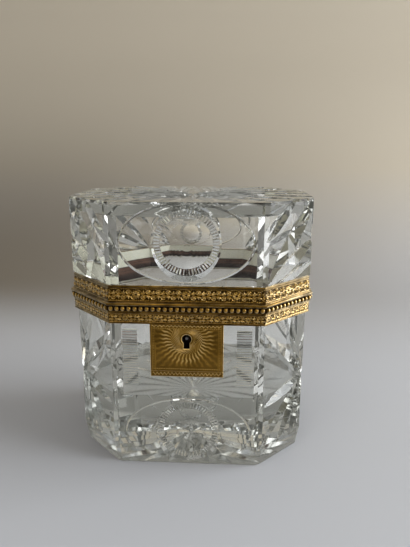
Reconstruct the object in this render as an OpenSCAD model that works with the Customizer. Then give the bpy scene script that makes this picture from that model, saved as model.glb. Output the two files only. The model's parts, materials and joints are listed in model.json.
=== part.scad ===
// Cut-crystal casket: an octagonal glass box and lid held in gilt metal collars,
// joined by a barrel hinge at the back and shut by a small box lock let into the front.
// Front faces -Y, the lid opens about the hinge axis at +Y, and the floor is z = 0.

/* [Glass] */
// Width of the glass from side to side
glass_w = 130; // [116:1:150]
// Depth of the glass from front to back
glass_d = 95; // [88:1:110]
// Corner chamfer, measured along each side
corner_cut = 25; // [22:0.5:27]
// Height of the parting line between box and lid
part_z = 91.2; // [84:0.2:100]
// Overall height with the lid shut
total_h = 148.5; // [144:0.5:165]
// Thickness of the upright walls
wall = 9; // [8:0.5:10]
// Height of the solid glass block under the inside
floor_z = 40; // [25:1:44]
// Thickness of the lid's roof
roof_t = 8; // [7:0.5:10]
// Height of the bevel round the foot
foot_h = 12; // [6:0.5:14]
// How far the foot bevel draws in at the table
foot_in = 2; // [0.5:0.25:3]
// Width of the narrow facet on each front and back arris
arris_w = 3; // [1:0.25:4]
// How far the lid's glass overhangs its seat in the collar
lid_over = 1.6; // [1:0.1:2]

/* [Cutting] */
// Half angle of the mitre wheel's rim
mitre_half = 55; // [45:1:60]
// Height of the lid medallion's centre
lid_medal_z = 127.5; // [126:0.5:130]
// Height of the base medallion's centre
base_medal_z = 20.5; // [18:0.5:24]
// Half length of the oval cut
oval_a = 34.5; // [28:0.5:36]
// Half height of the oval cut
oval_b = 20.5; // [16:0.5:21]
// Depth of the oval cut at its centre
oval_depth = 1.2; // [0.6:0.1:1.6]
// Radius of the ring round the dish, where its bevel begins
ring_r = 17.1; // [15:0.1:17.5]
// Depth of the ring's flat
ring_depth = 1.7; // [1.5:0.1:2.2]
// Radius of the dish inside the ring
dish_r = 13.5; // [10:0.5:14.5]
// Depth of the dish below the ring's flat
dish_depth = 2.4; // [1:0.1:3]
// Number of radial notches round the ring
notch_count = 60; // [24:2:72]
// Number of bars in each ladder strip
ladder_count = 30; // [12:1:36]
// Width of each ladder strip
ladder_w = 8; // [4:0.5:9]
// Width of one radial notch
notch_w = 0.95; // [0.5:0.05:1.1]
// Width of one bar of a ladder
bar_w = 0.75; // [0.5:0.05:0.9]
// Width of the upright leaf down each front and back arris of the base
arris_leaf_w = 4.6; // [3:0.2:5]
// Rays in the star under the base
base_star_count = 24; // [8:2:28]
// Reach of the star under the base
base_star_r = 42; // [30:1:42]
// Widest part of each ray under the base
base_star_w = 5.5; // [4:0.5:8]
// Rays in the star on the lid
lid_star_count = 24; // [8:4:28]
// Widest part of each ray on the lid
lid_star_w = 8.5; // [6:0.5:10]

/* [Collars] */
// Height of the base collar
base_band_h = 6.2; // [5.6:0.1:8]
// Height of the lid collar
lid_band_h = 14.1; // [13:0.1:16]
// Thickness of the plaster between glass and collar
bed_t = 0.4; // [0.3:0.05:0.6]
// Thickness of the collar wall behind the ornament
band_t = 1.2; // [1:0.05:1.5]
// Thickness of the flange that covers each glass rim
flange_t = 1; // [0.8:0.05:1.2]
// Gap between the two collars with the lid shut
part_gap = 0.2; // [0.15:0.05:0.3]
// How far the bead course stands out past the friezes
course_out = 0.7; // [0.5:0.05:0.9]
// How far the lid's frieze leans in towards its top
lid_lean = 0.6; // [0.2:0.05:0.6]
// How far the edge ridges stand out past the ornament
ridge_out = 0.4; // [0.2:0.05:0.5]
// Radius of the plain half round above the beads
torus_r = 0.9; // [0.6:0.05:1]
// Radius of one bead
bead_r = 1.15; // [0.8:0.05:1.2]
// Spacing of the beads
bead_pitch = 3.1; // [2.5:0.05:3.2]
// How far the liner stands above the parting line
liner_up = 6.4; // [2:0.1:7]
// Thickness of the liner
liner_t = 0.8; // [0.6:0.05:1]
// Clearance between liner and lid
liner_gap = 0.5; // [0.4:0.05:0.7]

/* [Lock] */
// Width of the lock plate
plate_w = 39; // [36:0.5:42]
// Height of the lock plate
plate_h = 30; // [28:0.5:32]
// Thickness of the lock plate
plate_t = 1; // [0.8:0.05:1.2]
// Depth of the lock case let into the glass
case_depth = 5.6; // [5.4:0.1:6]
// Thickness of the lock case walls
case_t = 1; // [0.7:0.05:1.2]
// Height of the keyhole's centre above the plate's lower edge
key_up = 21.5; // [19:0.25:22.5]
// Radius of the keyhole's round head
key_r = 2.6; // [2:0.1:3]
// Width of the keyhole's slot
key_slot = 3.2; // [2:0.1:3.6]
// Drop of the slot below the keyhole's centre
key_drop = 5.4; // [4:0.1:6]
// Travel of the bolt
bolt_travel = 3.6; // [3:0.1:4]
// Thickness of the bolt
bolt_t = 1.6; // [1.2:0.05:1.8]
// Width of the staple along the bolt's travel
staple_w = 3; // [2:0.1:3]

/* [Hinge] */
// Length of the hinge
hinge_len = 48; // [36:1:56]
// Radius of the hinge barrel
barrel_r = 2; // [1.8:0.05:2.1]
// Radius of the hinge pin
pin_r = 0.9; // [0.6:0.05:1]
// Running clearance of the pin in the knuckles
pin_gap = 0.05; // [0.02:0.01:0.1]
// Number of knuckles
knuckles = 5; // [3:2:7]
// Gap between neighbouring knuckles
knuckle_gap = 0.3; // [0.2:0.05:0.5]
// Distance of the hinge axis behind the glass
hinge_out = 2.9; // [2.8:0.05:3.2]

/* [Hidden] */
$fn = 64;
SIDES = [0:7];
GILT = "goldenrod";
inset_rate = 2 - sqrt(2);

// Steps of the cutting wheels' rims
leaf_steps = 6;
oval_steps = 14;
ring_steps = 60;
dish_rings = 5;
// Plain ring left at each end of a radial notch, and how far a fan starts past its arris
notch_end = 0.4;
fan_over = 3;
lid_star_past = lid_over + 3.5;
// How far the lid's star stops short of the front and back
lid_star_short = 1;

// Heights and reaches of the collars
ridge_h = 0.6;
base_band_z = part_z - part_gap / 2 - base_band_h;
base_band_top = part_z - part_gap / 2;
lid_band_z = part_z + part_gap / 2;
lid_band_top = lid_band_z + lid_band_h;
band_out = bed_t + band_t;
lid_top_out = band_out - lid_lean;
liner_out = -wall - liner_gap;
liner_drop = 1.5;
base_glass_top = base_band_top - flange_t - bed_t;
lid_glass_z = lid_band_z + flange_t + bed_t;
over_z = lid_band_top + part_gap;

// The bead course, from its channel to the fillet over the half round
strip_t = 0.2;
strip_gap = 0.1;
bead_back = band_out + course_out;
bead_channel_z = lid_band_z + ridge_h;
bead_channel_h = 2 * bead_r + 0.5;
bead_channel_top = bead_channel_z + bead_channel_h;
bead_z = bead_channel_z + bead_channel_h / 2;
torus_out = bead_back + ridge_out / 2;
torus_z = bead_channel_top + strip_gap + torus_r;
fillet_top = torus_z + torus_r + ridge_h / 2;
frieze_lip_h = 1.2;

// The hinge
relief = 0.3;
leaf_t = 0.7;
rivet_r = 0.5;
base_leaf_out = band_out + leaf_t;
lid_leaf_out = bead_back + leaf_t;
knuckle_pitch = hinge_len / knuckles;
hinge_room = hinge_len + 2 * knuckle_gap;
base_rivet_z = base_band_z + 2.2;
lid_rivet_z = bead_channel_top - 0.7;
base_rivet_x = [for (k = [0:2:knuckles - 1]) knuckle_x(k)];
lid_rivet_x = [for (k = [1:2:knuckles - 1]) knuckle_x(k)];

// The lock's case
slack = 0.3;
plate_z = base_band_z - plate_h;
key_z = plate_z + key_up;
case_in = 1.6;
case_w = plate_w - 2 * case_in;
case_z = plate_z + case_in;
case_top = base_band_top - flange_t;
case_back = -case_depth;
cavity_back = case_back + case_t;
cavity_side = case_w / 2 - case_t;
post_r = 0.75;
ward_r = 3.2;
ward_t = 0.5;
ward_h = 1;

// The bolt, which hangs from the top of the case, and its guide pins and spring
bolt_mid = (cavity_back + bed_t) / 2 - slack;
tongue_h = 2;
tongue_z = case_top - case_t - 3 * slack - tongue_h;
neck_h = 1.8;
bolt_h = 4;
bolt_low = tongue_z - neck_h - bolt_h;
bolt_end = -staple_w / 2 - 0.4;
arm_w = 4.5;
arm_x = -cavity_side + bolt_travel + slack;
tail_x = 9;
talon_r = 1.4;
guide_r = 0.7;
guide_z = bolt_low + bolt_h / 2;
guide_x = [-7, 6];
spring_t = 0.3;
spring_h = 1.2;
spring_bow = 14;
spring_touch = 7;
spring_tip = 15;

// The staple that hangs from the lid, with room for the arc that it swings through
loop_t = 0.8;
loop_y = bolt_t + 2 * slack + 2 * loop_t;
loop_low = tongue_z - slack - loop_t;
loop_z = bolt_mid - loop_y / 2;
swing_room = 0.5;
foot_w = 11;
foot_t = 0.6;
foot_slack = 0.05;
staple_pin_r = 0.6;
staple_pin_in = 1.6;

// --- Octagon and the frames of its eight sides --------------------------------------

// Corner points of the octagon pushed outwards by out, inwards where out is negative
function oct(out) =
    let (x = glass_w / 2 + out, y = glass_d / 2 + out, c = corner_cut + out * inset_rate)
    [[-x + c, -y], [x - c, -y], [x, -y + c], [x, y - c],
     [x - c, y], [-x + c, y], [-x, y - c], [-x, -y + c]];

// Side 0 is the front, and the sides follow anticlockwise seen from above
function side_mid(i, out = 0) = let (p = oct(out)) (p[i] + p[(i + 1) % 8]) / 2;
function side_len(i, out = 0) = let (p = oct(out)) norm(p[(i + 1) % 8] - p[i]);

module oct_prism(out, z0, z1) {
    translate([0, 0, z0]) linear_extrude(z1 - z0) polygon(oct(out));
}

module oct_ring(inner, outer, z0, z1) {
    difference() {
        oct_prism(outer, z0, z1);
        oct_prism(inner, z0 - 1, z1 + 1);
    }
}

// Local x runs along the side, local y is up, and local z points out of the glass
module on_side(i, out = 0) {
    m = side_mid(i, out);
    translate([m[0], m[1], 0]) rotate([0, 0, 45 * i]) rotate([90, 0, 0]) children();
}

// A moulding carried round the octagon and mitred at its corners. The profile is a closed
// outline of [out, z] points that runs anticlockwise, with out to the right.
module moulding(profile) {
    n = len(profile);
    polyhedron(
        points = [for (p = profile) for (c = oct(p[0])) [c[0], c[1], p[1]]],
        faces = [for (i = [0:n - 1]) for (j = SIDES) let (k = (i + 1) % n, m = (j + 1) % 8)
            [8 * i + j, 8 * k + j, 8 * k + m, 8 * i + m]]);
}

// Half round from a lower to an upper point on the same face
function half_round(out, mid_z, r, steps) =
    [for (k = [0:steps]) let (a = -90 + 180 * k / steps) [out + r * cos(a), mid_z + r * sin(a)]];

// --- Cuts in the glass, each drawn on a face with local z outwards ------------------

// Sector of a wheel that rolls along local x and dips depth into the face over reach; the
// child is the wheel's rim, drawn with x as the distance from its axle
module wheel_sector(wheel_r, depth, reach, steps) {
    half = asin(reach / 2 / wheel_r) + 1;
    hull() translate([0, 0, wheel_r - depth]) rotate([90, 0, 0]) rotate([0, 0, -90 - half])
        rotate_extrude(angle = 2 * half, $fn = steps * 180 / half) children();
}

// Leaf cut by a mitre wheel: a double cone whose rim dips into the face from one point to
// another, w wide at its middle
module leaf(from, to, w) {
    reach = norm(to - from);
    depth = w / (2 * tan(mitre_half));
    wheel_r = (reach * reach / 4 + depth * depth) / (2 * depth);
    rim = 2 * depth + 1;
    mid = (from + to) / 2;
    translate([mid[0], mid[1], 0]) rotate([0, 0, atan2(to[1] - from[1], to[0] - from[0])])
        wheel_sector(wheel_r, depth, reach, leaf_steps)
            polygon([[wheel_r, 0], [wheel_r - rim, rim * tan(mitre_half)],
                     [wheel_r - rim, -rim * tan(mitre_half)]]);
}

// Shallow oval hollow left by a barrel-shaped wheel
module oval_hollow() {
    wheel_r = oval_a * oval_a / (2 * oval_depth) + oval_depth / 2;
    rim_r = oval_b * oval_b / (2 * oval_depth) + oval_depth / 2;
    half = asin(oval_b / rim_r) + 1;
    wheel_sector(wheel_r, oval_depth, 2 * oval_a, oval_steps)
        polygon([for (k = [-oval_steps:2:oval_steps]) let (a = half * k / oval_steps)
            [wheel_r - rim_r + rim_r * cos(a), rim_r * sin(a)]]);
}

// V groove along local x, w wide at the face
module notch(len, w) {
    square_w = w / sqrt(2);
    translate([-len / 2, 0, 0]) rotate([45, 0, 0]) translate([0, -square_w / 2, -square_w / 2])
        cube([len, square_w, square_w]);
}

// Bowl of the round dish, as a profile turned about its own axis
module dish(bowl_r) {
    half = asin(dish_r / bowl_r) * 1.05;
    translate([0, 0, bowl_r - dish_depth]) rotate_extrude($fn = ring_steps)
        polygon(concat([for (k = [0:dish_rings]) let (a = half * k / dish_rings)
            [bowl_r * sin(a), -bowl_r * cos(a)]], [[0, -bowl_r * cos(half)]]));
}

// Oval hollow, flat ring with radial notches and a deep round dish, kept above a height
module medallion(height, floor_y) {
    bowl_r = (dish_r * dish_r + dish_depth * dish_depth) / (2 * dish_depth);
    ring_w = ring_r - dish_r;
    intersection() {
        translate([0, height, 0]) {
            oval_hollow();
            translate([0, 0, -ring_depth])
                cylinder(h = ring_depth + 1, r1 = ring_r, r2 = ring_r + ring_depth + 1, $fn = ring_steps);
            translate([0, 0, -ring_depth]) dish(bowl_r);
            for (k = [0:notch_count - 1]) rotate([0, 0, k * 360 / notch_count])
                translate([dish_r + ring_w / 2, 0, -ring_depth]) notch(ring_w - 2 * notch_end, notch_w);
        }
        translate([-glass_w, floor_y, -wall]) cube([2 * glass_w, 2 * total_h, 3 * wall]);
    }
}

// Ladder of short bars between two heights
module ladder(x, y0, y1) {
    step = (y1 - y0) / ladder_count;
    for (k = [0:ladder_count - 1]) translate([x, y0 + (k + 0.5) * step, 0]) notch(ladder_w, bar_w);
}

// Star of leaves from near the middle out past reach, longer towards the sides
module star(count, near, reach_x, reach_y, w) {
    for (k = [0:count - 1]) {
        a = 360 * k / count;
        far = 1 / norm([cos(a) / reach_x, sin(a) / reach_y]);
        leaf(near * [cos(a), sin(a)], far * [cos(a), sin(a)], w);
    }
}

// Fan of leaves from a point on the outer arris; each target is [x, y, width]
module fan(origin, targets) {
    for (t = targets) {
        to = [t[0], t[1]];
        away = (origin - to) / norm(origin - to);
        leaf(origin + fan_over * away, to, t[2]);
    }
}

// Bevel round the foot, leaning in to foot_in at the table
module foot_bevels() {
    lean = atan(foot_in / foot_h);
    for (i = SIDES) on_side(i) translate([-glass_w, foot_h, 0]) rotate([lean, 0, 0])
        translate([0, -3 * foot_h, 0]) cube([2 * glass_w, 3 * foot_h, 4 * foot_in]);
}

// The arrises between the front or back and the chamfers, with local -Y pointing out and
// y = 0 on the face of the narrow flat
module at_arrises(out) {
    depth = arris_w / 2 * tan(22.5);
    for (c = [0, 1, 4, 5]) translate([oct(out)[c][0], oct(out)[c][1], 0])
        rotate([0, 0, 45 * c - 22.5]) translate([0, depth, 0]) children();
}

module arris_flats(out) {
    at_arrises(out) translate([-arris_w, -2 * arris_w, -1])
        cube([2 * arris_w, 2 * arris_w, total_h + 2]);
}

// Upright leaves from the foot to the level of the inside's floor
module arris_leaves() {
    at_arrises(0) rotate([90, 0, 0]) leaf([0, foot_h / 2], [0, floor_z + foot_h / 2], arris_leaf_w);
}

// --- Glass --------------------------------------------------------------------------

// Fans on a chamfer, with x growing towards the side of the box
module base_chamfer_cuts() {
    edge = side_len(1) / 2;
    mid = floor_z + foot_h / 2;
    top = base_band_z;
    fan([edge, mid], [
        [-edge + 1, top - 5, 7], [edge * 0.1, top + 3, 6], [-edge + 2, mid - 10, 7],
        [-edge + 1, foot_h, 6], [-edge * 0.25, foot_h / 2, 6], [edge * 0.4, foot_h / 3, 5]]);
}

// Half of a side face's cuts, with x growing towards the nearer chamfer
module base_side_cuts() {
    edge = side_len(2) / 2;
    mid = floor_z + foot_h / 2;
    fan([edge, mid], [
        [edge * 0.15, base_band_z - 4, 6], [edge * 0.1, mid + 7, 5], [edge * 0.1, mid - 8, 5],
        [edge * 0.15, foot_h, 6], [edge * 0.6, foot_h / 3, 4]]);
}

// Leaves that rise from the foot of the front arris, and one across the upper corner
module lid_chamfer_cuts() {
    edge = side_len(1, lid_over) / 2;
    low = over_z;
    mid = (low + total_h) / 2;
    leaf([-edge + 1, low + 1], [edge + 3, total_h + 2], 10);
    leaf([-edge + 1, low - 1], [edge + 4, mid + 1], 8);
    leaf([-edge + 3, low - 3], [edge + 4, low + 9], 5);
    leaf([-edge - 3, mid - 1], [edge * 0.3, total_h + 3], 6);
}

module lid_side_cuts() {
    edge = side_len(2, lid_over) / 2;
    low = over_z;
    mid = (low + total_h) / 2;
    fan([edge, mid], [[edge * 0.15, total_h + 3, 7], [edge * 0.05, mid, 5], [edge * 0.15, low - 2, 7]]);
}

module all_chamfers(out) {
    for (i = [1, 5]) on_side(i, out) children();
    for (i = [3, 7]) on_side(i, out) mirror([1, 0, 0]) children();
}

module both_sides(out) {
    for (i = [2, 6]) on_side(i, out) {
        children();
        mirror([1, 0, 0]) children();
    }
}

module base_glass() {
    ladder_x = side_len(0) / 2 - arris_w / 2 - ladder_w;
    color("azure", 0.4) difference() {
        oct_prism(0, 0, base_glass_top);
        oct_prism(-wall, floor_z, base_glass_top + 1);
        foot_bevels();
        arris_flats(0);
        on_side(0) lock_pocket(bed_t);
        for (i = [0, 4]) on_side(i) medallion(base_medal_z, foot_h);
        on_side(0) for (s = [-1, 1]) ladder(s * ladder_x, floor_z + 8, base_band_z - 4);
        all_chamfers(0) base_chamfer_cuts();
        both_sides(0) base_side_cuts();
        arris_leaves();
        mirror([0, 0, 1]) star(base_star_count, 1.5, base_star_r, base_star_r, base_star_w);
    }
}

// The lid's glass narrows to its seat in the collar
module lid_glass() {
    color("azure", 0.4) difference() {
        union() {
            oct_prism(0, lid_glass_z, over_z + 1);
            oct_prism(lid_over, over_z, total_h);
        }
        oct_prism(-wall, lid_glass_z - 1, total_h - roof_t);
        arris_flats(lid_over);
        for (i = [0, 4]) on_side(i, lid_over) medallion(lid_medal_z, over_z);
        all_chamfers(lid_over) lid_chamfer_cuts();
        both_sides(lid_over) lid_side_cuts();
        translate([0, 0, total_h]) star(lid_star_count, 2.5, glass_w / 2 + lid_star_past,
            glass_d / 2 - lid_star_short, lid_star_w);
    }
}

// --- Collars and bedding ------------------------------------------------------------

module base_bedding() {
    color("cornsilk") difference() {
        union() {
            oct_ring(0, bed_t, base_band_z + ridge_h, base_glass_top + bed_t);
            oct_ring(-wall, bed_t, base_glass_top, base_glass_top + bed_t);
        }
        on_side(0) lock_pocket(0);
        on_side(4) translate([0, part_z, hinge_out]) axle(hinge_room, barrel_r + relief);
    }
}

module lid_bedding() {
    color("cornsilk") {
        oct_ring(-wall, bed_t, lid_glass_z - bed_t, lid_glass_z);
        oct_ring(0, bed_t, lid_glass_z, lid_band_top - ridge_h);
    }
}

// The base collar, from the underside of its flange round the outside
base_profile = concat(
    [[liner_out, base_band_top - flange_t], [bed_t, base_band_top - flange_t], [bed_t, base_band_z],
     [band_out + ridge_out, base_band_z], [band_out + ridge_out, base_band_z + ridge_h * 0.6],
     [band_out, base_band_z + ridge_h], [band_out, base_band_top - ridge_h]],
    half_round(band_out + ridge_out / 2, base_band_top - ridge_h / 2, ridge_h / 2, 4),
    [[liner_out, base_band_top]]);

// The lid collar: foot ridge, bead channel, half round, fillet, leaning frieze and lip
lid_profile = concat(
    [[-wall, lid_band_z], [torus_out, lid_band_z], [torus_out, bead_channel_z],
     [bead_back, bead_channel_z], [bead_back, bead_channel_top], [torus_out, bead_channel_top]],
    half_round(torus_out, torus_z, torus_r, 8),
    [[band_out + ridge_out, torus_z + torus_r], [band_out + ridge_out, fillet_top],
     [band_out, fillet_top + ridge_h / 4], [lid_top_out, lid_band_top - frieze_lip_h],
     [lid_top_out + ridge_out, lid_band_top - frieze_lip_h * 0.7],
     [lid_top_out + ridge_out, lid_band_top - frieze_lip_h * 0.3], [lid_top_out, lid_band_top],
     [bed_t, lid_band_top], [bed_t, lid_band_z + flange_t], [-wall, lid_band_z + flange_t]]);

module base_collar() {
    color(GILT) difference() {
        moulding(base_profile);
        on_side(0) staple_slot();
        hinge_relief();
        leaf_rivets(base_rivet_x, base_rivet_z, base_leaf_out);
    }
}

module lid_collar() {
    color(GILT) difference() {
        moulding(lid_profile);
        on_side(0) staple_foot(foot_slack);
        hinge_relief();
        leaf_rivets(lid_rivet_x, lid_rivet_z, lid_leaf_out);
        staple_pins();
    }
}

module bead_strip() {
    color(GILT) difference() {
        union() {
            oct_ring(bead_back, bead_back + strip_t,
                bead_channel_z + strip_gap, bead_channel_top - strip_gap);
            for (i = SIDES) on_side(i) beads(side_len(i, bead_back));
        }
        oct_prism(bead_back, bead_channel_z - 1, bead_channel_top + 1);
        on_side(4) translate([-hinge_room / 2, bead_channel_z - 1, 0])
            cube([hinge_room, bead_channel_h + 2, 2 * bead_back]);
    }
}

module beads(len) {
    count = floor(len / bead_pitch);
    for (k = [0:count - 1]) translate([(k - (count - 1) / 2) * len / count, bead_z, bead_back + strip_t])
        sphere(bead_r, $fn = 24);
}

module rim_liner() {
    color("sienna")
        oct_ring(liner_out - liner_t, liner_out, base_band_top - flange_t - liner_drop, part_z + liner_up);
}

// --- Lock, drawn in the front face's frame -------------------------------------------

module lock_pocket(clear) {
    translate([-case_w / 2 - clear, case_z - clear, case_back - clear])
        cube([case_w + 2 * clear, case_top - case_z + 2 * clear, case_depth + 1]);
}

module keyhole(t) {
    translate([0, key_z, 0]) {
        cylinder(h = t, r = key_r);
        translate([-key_slot / 2, -key_drop, 0]) cube([key_slot, key_drop, t]);
    }
}

module staple_slot() {
    translate([-staple_w / 2 - slack, case_top - case_t - 1, loop_z - slack])
        cube([staple_w + 2 * slack, case_t + flange_t + 2, loop_y + slack + swing_room]);
}

module lock_plate() {
    color(GILT) on_side(0) difference() {
        translate([-plate_w / 2, plate_z, bed_t]) cube([plate_w, plate_h, plate_t]);
        translate([0, 0, bed_t - 1]) keyhole(plate_t + 2);
    }
}

module lock_case() {
    color("peru") on_side(0) difference() {
        translate([-case_w / 2, case_z, case_back]) cube([case_w, case_top - case_z, case_depth + bed_t]);
        translate([-cavity_side, case_z + case_t, cavity_back])
            cube([2 * cavity_side, case_top - case_z - 2 * case_t, case_depth]);
        staple_slot();
        for (x = guide_x) translate([x, guide_z, case_back - 1]) cylinder(h = 3, r = guide_r);
        translate([0, key_z, case_back - 1]) cylinder(h = 3, r = post_r);
    }
}

module guide_slot(x) {
    r = guide_r + pin_gap;
    translate([x, guide_z, -bolt_t]) cylinder(h = 2 * bolt_t, r = r);
    translate([x - bolt_travel, guide_z, -bolt_t]) cylinder(h = 2 * bolt_t, r = r);
    translate([x - bolt_travel, guide_z - r, -bolt_t]) cube([bolt_travel, 2 * r, 2 * bolt_t]);
}

module lock_bolt() {
    color("darkgray") on_side(0) translate([0, 0, bolt_mid]) difference() {
        translate([0, 0, -bolt_t / 2]) {
            translate([arm_x, bolt_low, 0]) cube([tail_x - arm_x, bolt_h, bolt_t]);
            translate([arm_x, bolt_low, 0]) cube([arm_w, tongue_z + tongue_h - bolt_low, bolt_t]);
            translate([arm_x, tongue_z, 0]) cube([bolt_end - arm_x, tongue_h, bolt_t]);
        }
        for (x = guide_x) guide_slot(x);
        translate([-bolt_travel / 2, bolt_low, -bolt_t]) cylinder(h = 2 * bolt_t, r = talon_r);
    }
}

module bolt_guide_pins() {
    color("silver") on_side(0) for (x = guide_x)
        translate([x, guide_z, case_back]) cylinder(h = case_depth + bed_t, r = guide_r);
}

module bolt_spring() {
    bow_y = bolt_low + bolt_h + pin_gap + spring_bow;
    sweep = asin((cavity_side - spring_touch) / spring_bow);
    color("slategray") on_side(0) translate([spring_touch, bow_y, bolt_mid - spring_h / 2])
        rotate([0, 0, -90 - spring_tip]) rotate_extrude(angle = sweep + spring_tip, $fn = 240)
            translate([spring_bow - spring_t, 0]) square([spring_t, spring_h]);
}

module key_post() {
    color("silver") on_side(0) translate([0, key_z, case_back]) cylinder(h = case_depth, r = post_r);
}

module lock_ward() {
    color("silver") on_side(0) translate([0, key_z, cavity_back]) rotate([0, 0, -50])
        rotate_extrude(angle = 280) translate([ward_r, 0]) square([ward_t, ward_h]);
}

module staple_foot(clear) {
    translate([-foot_w / 2 - clear, lid_band_z - 1, loop_z - clear])
        cube([foot_w + 2 * clear, 1 + foot_t + clear, loop_y + 2 * clear]);
}

module staple_pins() {
    on_side(0) for (s = [-1, 1])
        translate([s * (foot_w / 2 - staple_pin_in), lid_band_z + flange_t, bolt_mid])
            rotate([90, 0, 0]) cylinder(h = flange_t, r = staple_pin_r);
}

module staple() {
    color("silver") difference() {
        on_side(0) difference() {
            union() {
                translate([-foot_w / 2, lid_band_z, loop_z]) cube([foot_w, foot_t, loop_y]);
                translate([-staple_w / 2, loop_low, loop_z])
                    cube([staple_w, lid_band_z - loop_low + foot_t / 2, loop_y]);
            }
            translate([-staple_w, tongue_z - slack, bolt_mid - bolt_t / 2 - slack])
                cube([2 * staple_w, tongue_h + 2 * slack, bolt_t + 2 * slack]);
        }
        staple_pins();
    }
}

module staple_rivets() {
    color("gold") staple_pins();
}

// --- Hinge, drawn in the back face's frame --------------------------------------------

function knuckle_x(k) = (k - (knuckles - 1) / 2) * knuckle_pitch;

module axle(len, r) {
    rotate([0, 90, 0]) cylinder(h = len, r = r, center = true);
}

module hinge_relief() {
    on_side(4) translate([0, part_z, hinge_out]) axle(hinge_room, barrel_r + relief);
}

module leaf_rivets(xs, z, out) {
    on_side(4) for (x = xs) translate([x, z, bed_t]) cylinder(h = out - bed_t, r = rivet_r);
}

// One leaf with every second knuckle from first, and room for the other leaf's knuckles
module hinge_leaf(first, z0, z1, back, out) {
    on_side(4) difference() {
        union() {
            difference() {
                translate([-hinge_len / 2, z0, back]) cube([hinge_len, z1 - z0, out - back]);
                for (k = [1 - first:2:knuckles - 1]) translate([knuckle_x(k), part_z, hinge_out])
                    axle(knuckle_pitch + knuckle_gap, barrel_r + relief);
            }
            for (k = [first:2:knuckles - 1]) translate([knuckle_x(k), part_z, hinge_out])
                axle(knuckle_pitch - knuckle_gap, barrel_r);
        }
        translate([0, part_z, hinge_out]) axle(hinge_len + 2, pin_r + pin_gap);
    }
}

module hinge_base_leaf() {
    color(GILT) difference() {
        hinge_leaf(0, base_band_z + ridge_h, base_band_top - ridge_h, band_out, base_leaf_out);
        leaf_rivets(base_rivet_x, base_rivet_z, base_leaf_out);
    }
}

module hinge_lid_leaf() {
    color("darkgoldenrod") difference() {
        hinge_leaf(1, bead_channel_z, bead_channel_top, bead_back, lid_leaf_out);
        leaf_rivets(lid_rivet_x, lid_rivet_z, lid_leaf_out);
    }
}

module hinge_pin() {
    color("silver") on_side(4) translate([0, part_z, hinge_out]) axle(hinge_len, pin_r);
}

module base_leaf_rivets() {
    color("gold") leaf_rivets(base_rivet_x, base_rivet_z, base_leaf_out);
}

module lid_leaf_rivets() {
    color("gold") leaf_rivets(lid_rivet_x, lid_rivet_z, lid_leaf_out);
}

base_glass();
lid_glass();
base_bedding();
lid_bedding();
base_collar();
lid_collar();
bead_strip();
rim_liner();
lock_plate();
lock_case();
lock_bolt();
bolt_guide_pins();
bolt_spring();
key_post();
lock_ward();
staple();
staple_rivets();
hinge_base_leaf();
hinge_lid_leaf();
hinge_pin();
base_leaf_rivets();
lid_leaf_rivets();
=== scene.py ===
import json
import math
import bpy
import numpy as np
from mathutils import Euler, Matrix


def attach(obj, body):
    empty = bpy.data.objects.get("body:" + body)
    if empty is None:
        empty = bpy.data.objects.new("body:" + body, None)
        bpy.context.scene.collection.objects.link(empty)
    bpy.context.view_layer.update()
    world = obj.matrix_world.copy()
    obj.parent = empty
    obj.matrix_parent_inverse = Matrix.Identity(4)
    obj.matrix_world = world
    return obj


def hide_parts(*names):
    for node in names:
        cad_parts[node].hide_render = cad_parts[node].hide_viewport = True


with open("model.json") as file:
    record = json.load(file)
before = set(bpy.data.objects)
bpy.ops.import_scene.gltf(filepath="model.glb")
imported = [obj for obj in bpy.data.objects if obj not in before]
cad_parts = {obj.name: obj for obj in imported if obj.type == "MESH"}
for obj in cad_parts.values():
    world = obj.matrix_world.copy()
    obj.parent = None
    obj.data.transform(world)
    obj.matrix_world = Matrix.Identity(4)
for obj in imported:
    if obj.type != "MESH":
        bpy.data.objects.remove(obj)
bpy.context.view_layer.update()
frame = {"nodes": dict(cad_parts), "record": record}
nodes = frame["nodes"]
mm = 0.001
print("frame loaded:", len(nodes), "nodes")

# millimetres throughout; insetRate is what each chamfer gains when the outline is pushed out by one
box = {"width": 130, "depth": 95, "corner": 25, "top": 148.5, "wall": 9, "insetRate": 2 - math.sqrt(2)}


def octagon(out):
    # the eight corners pushed outwards by out, anticlockwise from the front's left end
    x, y = box["width"] / 2 + out, box["depth"] / 2 + out
    c = box["corner"] + out * box["insetRate"]
    return np.array([(-x + c, -y), (x - c, -y), (x, -y + c), (x, y - c),
                     (x - c, y), (-x + c, y), (-x, y - c), (-x, -y + c)])


def sideFrame(i, out=0.0):
    # middle of side i, the unit step along it, and the unit step out of it
    corners = octagon(out)
    a, b = corners[i], corners[(i + 1) % 8]
    along = (b - a) / np.linalg.norm(b - a)
    return (a + b) / 2, along, np.array([along[1], -along[0]])


def sideLength(i, out=0.0):
    # distance between the side's two corners
    corners = octagon(out)
    return np.linalg.norm(corners[(i + 1) % 8] - corners[i])


def onSide(points, i, out=0.0, flip=False):
    # local x along the side, y up and z out of the glass, taken into the box's own axes
    points = np.asarray(points, float).reshape(-1, 3)
    middle, along, away = sideFrame(i, out)
    x = -points[:, 0] if flip else points[:, 0]
    flat = middle + x[:, None] * along + points[:, 2:3] * away
    return np.column_stack([flat, points[:, 1]])


def gridFaces(rows, cols, closeRows=False, closeCols=False):
    # quad (i, j), (i+1, j), (i+1, j+1), (i, j+1), wrapping where a way is closed
    i, j = np.meshgrid(np.arange(rows - 1 + closeRows), np.arange(cols - 1 + closeCols), indexing="ij")
    i2, j2 = (i + 1) % rows, (j + 1) % cols
    return np.stack([i * cols + j, i2 * cols + j, i2 * cols + j2, i * cols + j2], -1).reshape(-1, 4)


def pointsFrom(x, y, z):
    # rows of (x, y, z) from three arrays whose shapes fit together
    return np.stack(np.broadcast_arrays(x, y, z), -1).reshape(-1, 3)


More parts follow.
